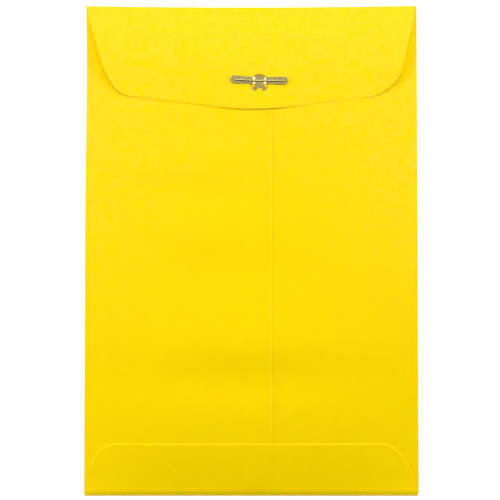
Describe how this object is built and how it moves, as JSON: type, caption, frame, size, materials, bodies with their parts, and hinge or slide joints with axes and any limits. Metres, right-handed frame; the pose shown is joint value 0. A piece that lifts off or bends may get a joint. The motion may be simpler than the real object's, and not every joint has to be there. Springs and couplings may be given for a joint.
{
  "type": "clasp envelope",
  "caption": "Closed paper clasp envelope: folded pocket with a centre seam, glued foot flap, and a pointed closure flap held by the folded-down prongs of a stamped metal clasp.",
  "frame": {"origin": "centre of the envelope's outline on the face it lies on, the outer face of the front panel", "axes": "+X to the right seen from the seam side, +Y along the height towards the closure flap's fold, +Z out of the seam side"},
  "size_m": [0.1636, 0.2414, 0.0069],
  "materials": {
    "yellow_paper": "smooth uncoated",
    "dried_gum": "thin clear gloss film",
    "clasp_metal": "gold-lacquered tinplate, bright"
  },
  "bodies": {
    "envelope": {"front_panel": "yellow_paper", "left_side_panel": "yellow_paper", "right_side_panel": "yellow_paper", "seam_gum": "dried_gum", "foot_flap": "yellow_paper", "foot_flap_gum": "dried_gum", "clasp_base": "clasp_metal"},
    "flap_root": {"flap_root": "yellow_paper"},
    "flap": {"closure_flap": "yellow_paper", "closure_gum": "dried_gum", "eyelet_patch": "yellow_paper"},
    "left_prong": {"left_prong": "clasp_metal"},
    "right_prong": {"right_prong": "clasp_metal"}
  },
  "joints": [
    {"name": "flap_fold", "type": "hinge", "parent": "envelope", "child": "flap_root", "pos_m": [0, 0.12055, 0.0003], "axis": [-1, 0, 0], "range_deg": [0, 160]},
    {"name": "flap_bend", "type": "hinge", "parent": "flap_root", "child": "flap", "pos_m": [0, 0.10515, 0.00588], "axis": [-1, 0, 0], "range_deg": [0, 19.9]},
    {"name": "left_prong_bend", "type": "hinge", "parent": "envelope", "child": "left_prong", "pos_m": [0.00185, 0.08265, 0.00543], "axis": [0.0611, 0.9981, 0], "range_deg": [0, 90]},
    {"name": "right_prong_bend", "type": "hinge", "parent": "envelope", "child": "right_prong", "pos_m": [0.00615, 0.08265, 0.00543], "axis": [0, -1, 0], "range_deg": [0, 90]}
  ],
  "couplings": [
    {"joint": "flap_bend", "follows": "flap_fold", "ratio": 0.1243}
  ]
}
